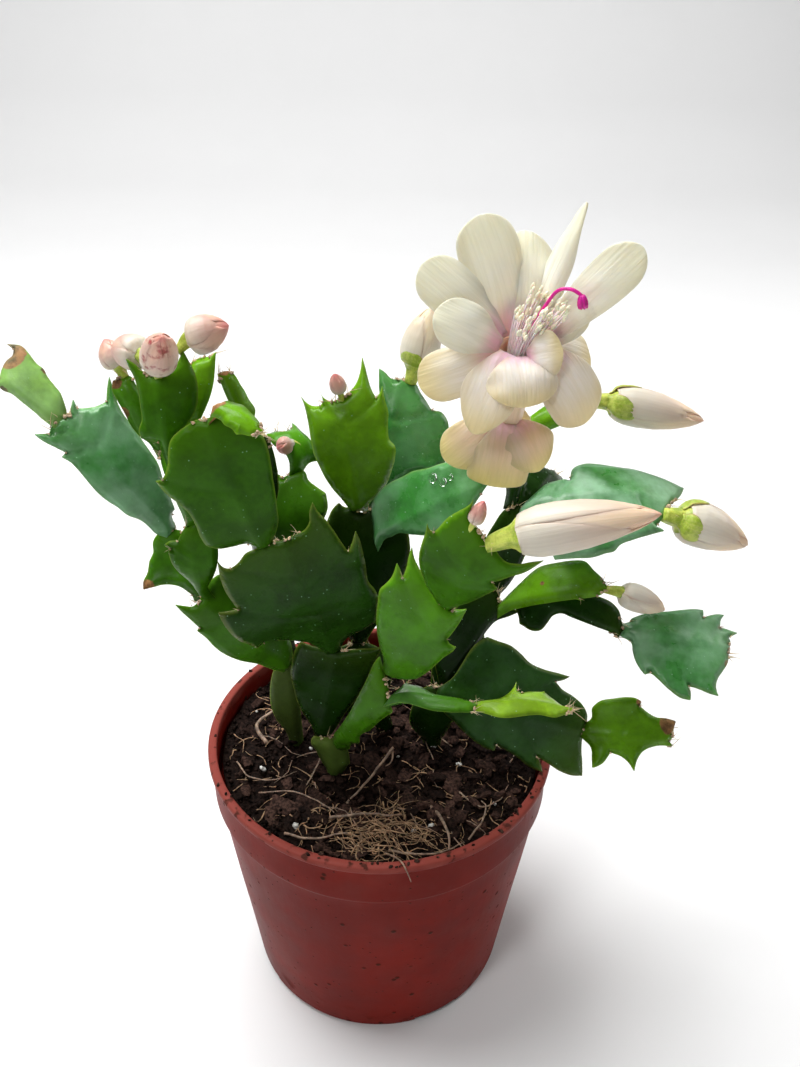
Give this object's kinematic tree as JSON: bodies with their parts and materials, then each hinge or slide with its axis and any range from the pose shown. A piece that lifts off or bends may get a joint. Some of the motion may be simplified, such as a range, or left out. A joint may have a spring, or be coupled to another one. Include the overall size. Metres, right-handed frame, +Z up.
{
  "type": "potted christmas cactus",
  "caption": "Young christmas cactus: arching chains of flat toothed segments, pink-tipped buds and an open cream flower, rooted in peaty soil in a round tapered plastic pot.",
  "frame": {"origin": "the middle of the pot's flat underside", "axes": "+Z up, along the pot's axis; -Y towards the front, the side the picture shows; +X to its right"},
  "size_m": [0.1662, 0.09, 0.2164],
  "materials": {
    "pot": "satin",
    "soil": "matte",
    "stem": "matte",
    "segment": "satin",
    "bud": "satin",
    "petal": "satin",
    "stamens": "matte",
    "style": "satin"
  },
  "bodies": {
    "root": {"pot": "pot", "soil": "soil", "stem_foot": "stem", "segment_front_lower": "segment", "segment_front_broad": "segment", "segment_left_oval": "segment", "segment_left_crown": "segment", "stem_rear_left": "stem", "segment_left_low": "segment", "segment_left_small": "segment", "segment_left_curled": "segment", "segment_left_broad": "segment", "segment_left_tip": "segment", "segment_left_bearer": "segment", "segment_left_bud_front": "segment", "segment_left_bud_rear": "segment", "segment_left_bud_side": "segment", "segment_rear_left_lower": "segment", "segment_rear_left": "segment", "segment_rear_left_riser": "segment", "segment_left_narrow": "segment", "segment_rear_left_tip": "segment", "stem_middle": "stem", "segment_middle_dark": "segment", "segment_tall": "segment", "segment_pale": "segment", "segment_flowering": "segment", "segment_front_right_lower": "segment", "segment_front_upright": "segment", "segment_front_bud": "segment", "segment_strap_inner": "segment", "segment_strap_outer": "segment", "stem_right": "stem", "segment_right_large": "segment", "segment_right_cupped": "segment", "segment_right_rising": "segment", "segment_right_folded": "segment", "segment_right_lobed": "segment", "segment_right_glossy": "segment", "stem_rear_right": "stem", "segment_rear_right_lower": "segment", "segment_right_arched": "segment", "segment_right_rear": "segment", "segment_rear_stem": "segment", "segment_rear_tip": "segment", "bud_left_outer": "bud", "bud_left_rear": "bud", "bud_left_front": "bud", "bud_left_side": "bud", "bud_rear": "bud", "bud_rear_right": "bud", "bud_front_long": "bud", "bud_right": "bud", "bud_right_small": "bud", "flower_tube": "petal", "stamens": "stamens", "style": "style", "tepals_lower": "petal", "tepals_middle": "petal", "tepals_upper": "petal"}
  },
  "joints": []
}
